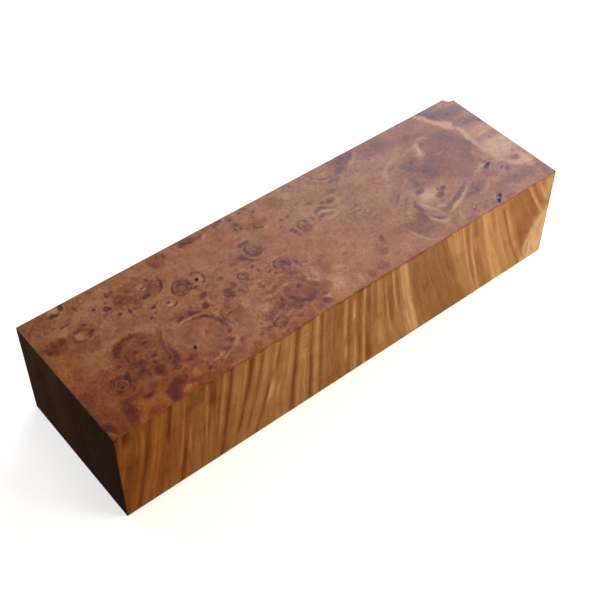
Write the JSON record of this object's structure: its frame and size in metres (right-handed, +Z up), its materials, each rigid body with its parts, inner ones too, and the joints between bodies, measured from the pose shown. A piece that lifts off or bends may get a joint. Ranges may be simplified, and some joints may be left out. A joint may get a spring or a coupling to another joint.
{
  "type": "maple burl block",
  "caption": "Sawn rectangular block of maple burl, with an eyed burl face on top, striped sides and one small broken corner.",
  "frame": {"origin": "centre of the block's flat underside, on the surface that it lies on", "axes": "+X along the length towards the end with the broken corner, -Y out of the striped long side, +Z up out of the eyed burl face"},
  "size_m": [0.12, 0.0356, 0.0256],
  "materials": {
    "burl_wood": "fine sanded and lightly oiled, satin"
  },
  "bodies": {
    "root": {"maple_burl_block": "burl_wood"}
  },
  "joints": []
}
